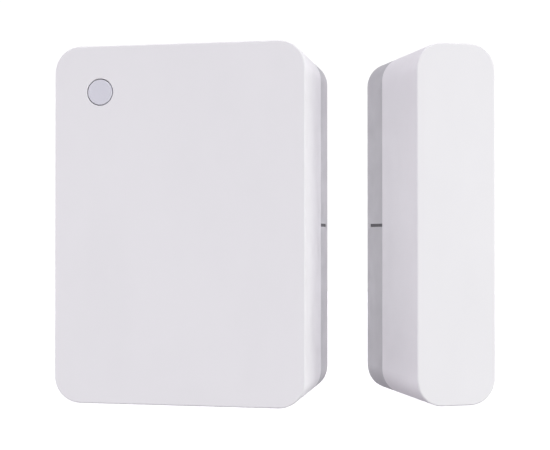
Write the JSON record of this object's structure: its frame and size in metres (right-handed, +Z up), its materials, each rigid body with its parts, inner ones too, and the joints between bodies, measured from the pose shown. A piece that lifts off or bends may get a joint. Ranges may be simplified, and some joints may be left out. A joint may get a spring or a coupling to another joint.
{
  "type": "door contact sensor",
  "caption": "Wireless magnetic contact sensor: a rounded upright sensor box with a round button, and a slim magnet box hung beside it on the door leaf.",
  "frame": {"origin": "centre of the sensor half's adhesive face, on the surface that it is stuck to", "axes": "+Z up; +Y into the wall, so the fronts face -Y; +X from the sensor half towards the magnet half"},
  "size_m": [0.0572, 0.0268, 0.047],
  "materials": {
    "shell_plastic": "satin moulded, near white",
    "cover_plastic": "satin moulded, pale grey",
    "mark_ink": "matt dark grey filling",
    "foam": "closed-cell foam tape",
    "board": "solder mask on glass laminate",
    "screw_steel": "zinc plated",
    "chip_body": "moulded package",
    "capacitor_body": "ceramic",
    "resistor_body": "glazed film on ceramic",
    "copper": "thin plated copper",
    "led_base": "white moulded",
    "led_lens": "clear cast resin",
    "holder_plastic": "black moulded",
    "contact_steel": "nickel-plated spring strip",
    "switch_plastic": "black moulded",
    "plunger_plastic": "natural moulded",
    "button_plastic": "translucent, satin face",
    "can_steel": "nickel-plated pressed steel",
    "gasket": "polypropylene seal",
    "clear_glass": "clear tube with fused ends",
    "reed_metal": "nickel-iron, tinned",
    "cradle_plastic": "natural moulded",
    "magnet_plating": "bright nickel plating",
    "dark_foam": "open-cell foam block"
  },
  "bodies": {
    "sensor_base": {"sensor_rear_cover": "cover_plastic", "sensor_adhesive_pad": "foam", "sensor_alignment_mark": "mark_ink"},
    "sensor_housing": {"sensor_front_shell": "shell_plastic", "main_pcb": "board", "pcb_screw_upper": "screw_steel", "pcb_screw_lower": "screw_steel", "radio_chip": "chip_body", "crystal": "can_steel", "capacitor_1": "capacitor_body", "capacitor_2": "capacitor_body", "capacitor_3": "capacitor_body", "capacitor_4": "capacitor_body", "capacitor_5": "capacitor_body", "capacitor_6": "capacitor_body", "capacitor_7": "capacitor_body", "resistor_1": "resistor_body", "resistor_2": "resistor_body", "resistor_3": "resistor_body", "resistor_4": "resistor_body", "resistor_5": "resistor_body", "antenna_trace": "copper", "status_led_base": "led_base", "status_led_lens": "led_lens", "battery_holder": "holder_plastic", "battery_contact_positive": "contact_steel", "battery_contact_negative": "contact_steel", "tact_switch_base": "switch_plastic", "tact_switch_cover": "contact_steel", "tact_switch_dome": "contact_steel", "reed_glass": "clear_glass", "reed_lead_upper": "reed_metal", "reed_lead_lower": "reed_metal"},
    "push_button": {"button_cap": "button_plastic"},
    "switch_plunger": {"tact_switch_plunger": "plunger_plastic"},
    "coin_cell": {"coin_cell_can": "can_steel", "coin_cell_gasket": "gasket", "coin_cell_cap": "can_steel"},
    "reed_blade": {"reed_blade_moving": "reed_metal"},
    "magnet_base": {"magnet_rear_cover": "cover_plastic", "magnet_adhesive_pad": "foam", "magnet_alignment_mark": "mark_ink"},
    "magnet_housing": {"magnet_front_shell": "shell_plastic", "magnet_cradle": "cradle_plastic", "bar_magnet": "magnet_plating", "magnet_foam_block": "dark_foam"}
  },
  "joints": [
    {"name": "door_leaf_swing", "type": "hinge", "parent": "sensor_base", "child": "magnet_base", "pos_m": [0.0168, 0, 0], "axis": [0, 0, 1], "range_deg": [-25.5, 64.5]},
    {"name": "sensor_housing_release", "type": "slide", "parent": "sensor_base", "child": "sensor_housing", "axis": [0, -1, 0], "range_m": [0, 0.03]},
    {"name": "magnet_housing_release", "type": "slide", "parent": "magnet_base", "child": "magnet_housing", "axis": [0.4305, -0.9026, 0], "range_m": [0, 0.025]},
    {"name": "button_press", "type": "slide", "parent": "sensor_housing", "child": "push_button", "axis": [0, 1, 0], "range_m": [0, 0.0003], "stiffness_N_per_m": 2500},
    {"name": "plunger_press", "type": "slide", "parent": "sensor_housing", "child": "switch_plunger", "axis": [0, 1, 0], "range_m": [0, 0.0003]},
    {"name": "coin_cell_lift", "type": "slide", "parent": "sensor_housing", "child": "coin_cell", "axis": [0, 1, 0], "range_m": [0, 0.012]},
    {"name": "reed_blade_flex", "type": "hinge", "parent": "sensor_housing", "child": "reed_blade", "pos_m": [0.0123, -0.01007, 0.00348], "axis": [1, 0, 0], "range_deg": [0, 1.8], "stiffness_Nm_per_rad": 0.001}
  ],
  "couplings": [
    {"joint": "plunger_press", "follows": "button_press", "ratio": 1},
    {"joint": "coin_cell_lift", "follows": "sensor_housing_release", "ratio": 0.4}
  ]
}
